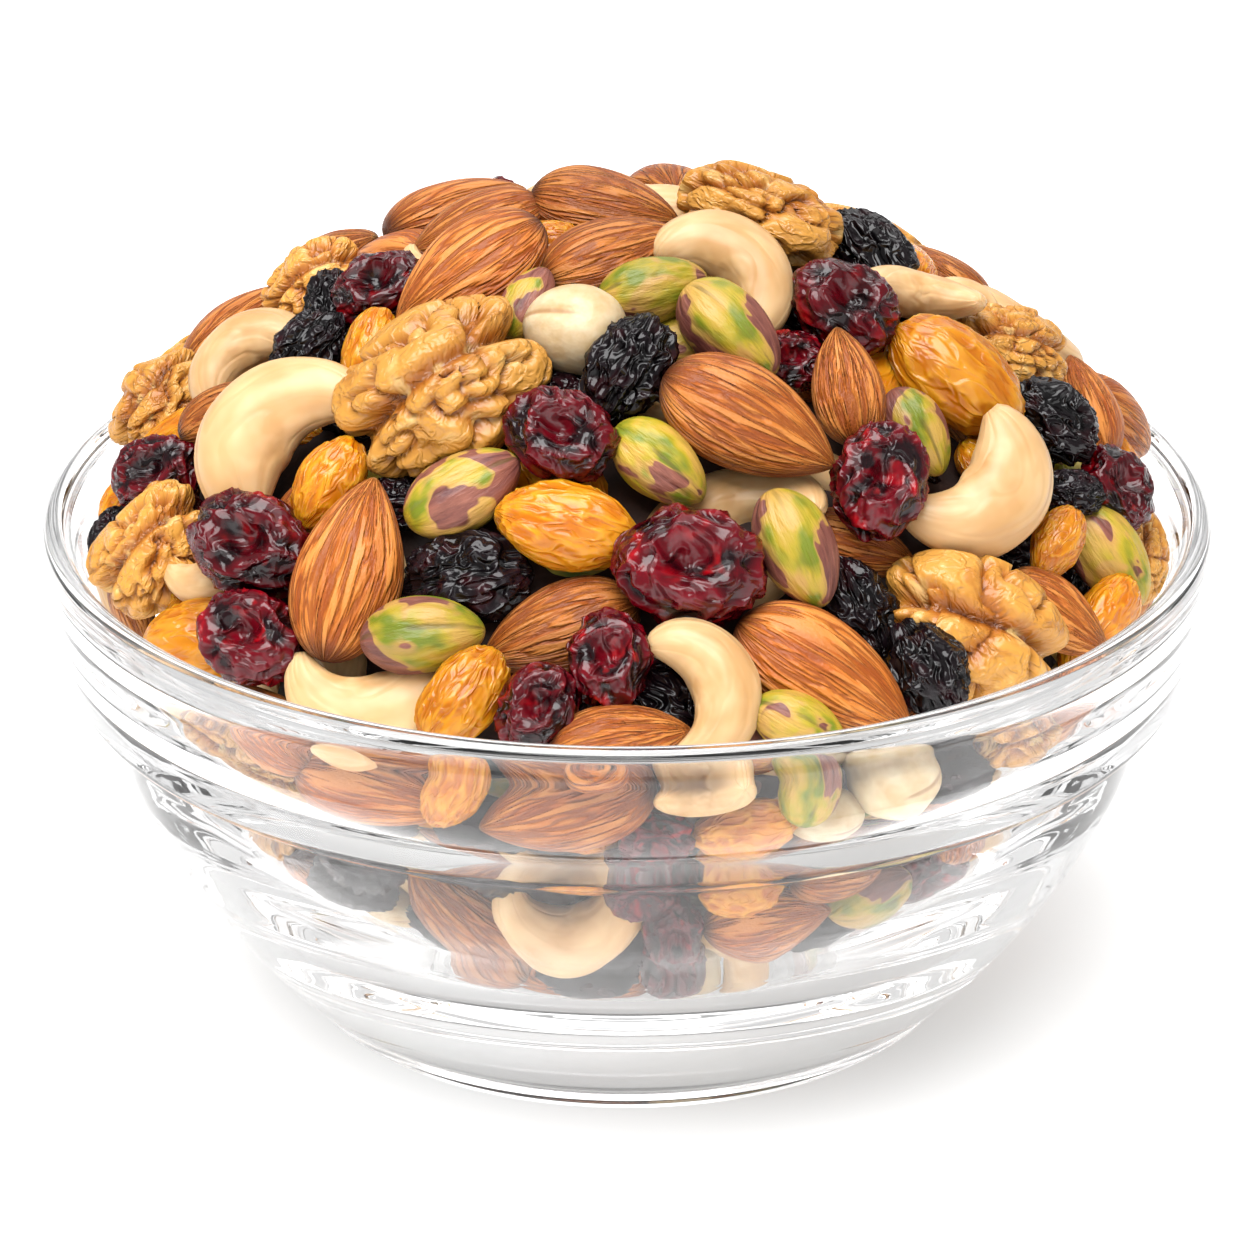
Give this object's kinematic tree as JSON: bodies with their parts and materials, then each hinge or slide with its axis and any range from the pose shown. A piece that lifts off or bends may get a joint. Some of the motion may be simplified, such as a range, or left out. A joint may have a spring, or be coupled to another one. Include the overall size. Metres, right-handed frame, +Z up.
{
  "type": "bowl of dried fruit and nuts",
  "caption": "Clear glass bowl with a stepped band and small foot, heaped above its rim with mixed nuts and dried fruit.",
  "frame": {"origin": "centre of the foot's underside, on the surface the bowl stands on", "axes": "+Z up along the bowl's axis; the side that the picture shows faces -Y"},
  "size_m": [0.17, 0.17, 0.1241],
  "materials": {
    "clear_glass": "clear, polished, nearly colourless",
    "nuts_and_fruit": "stands for food: satin nut skins and glossy dried fruit"
  },
  "bodies": {
    "root": {"glass_bowl": "clear_glass", "mixed_nuts": "nuts_and_fruit"}
  },
  "joints": []
}
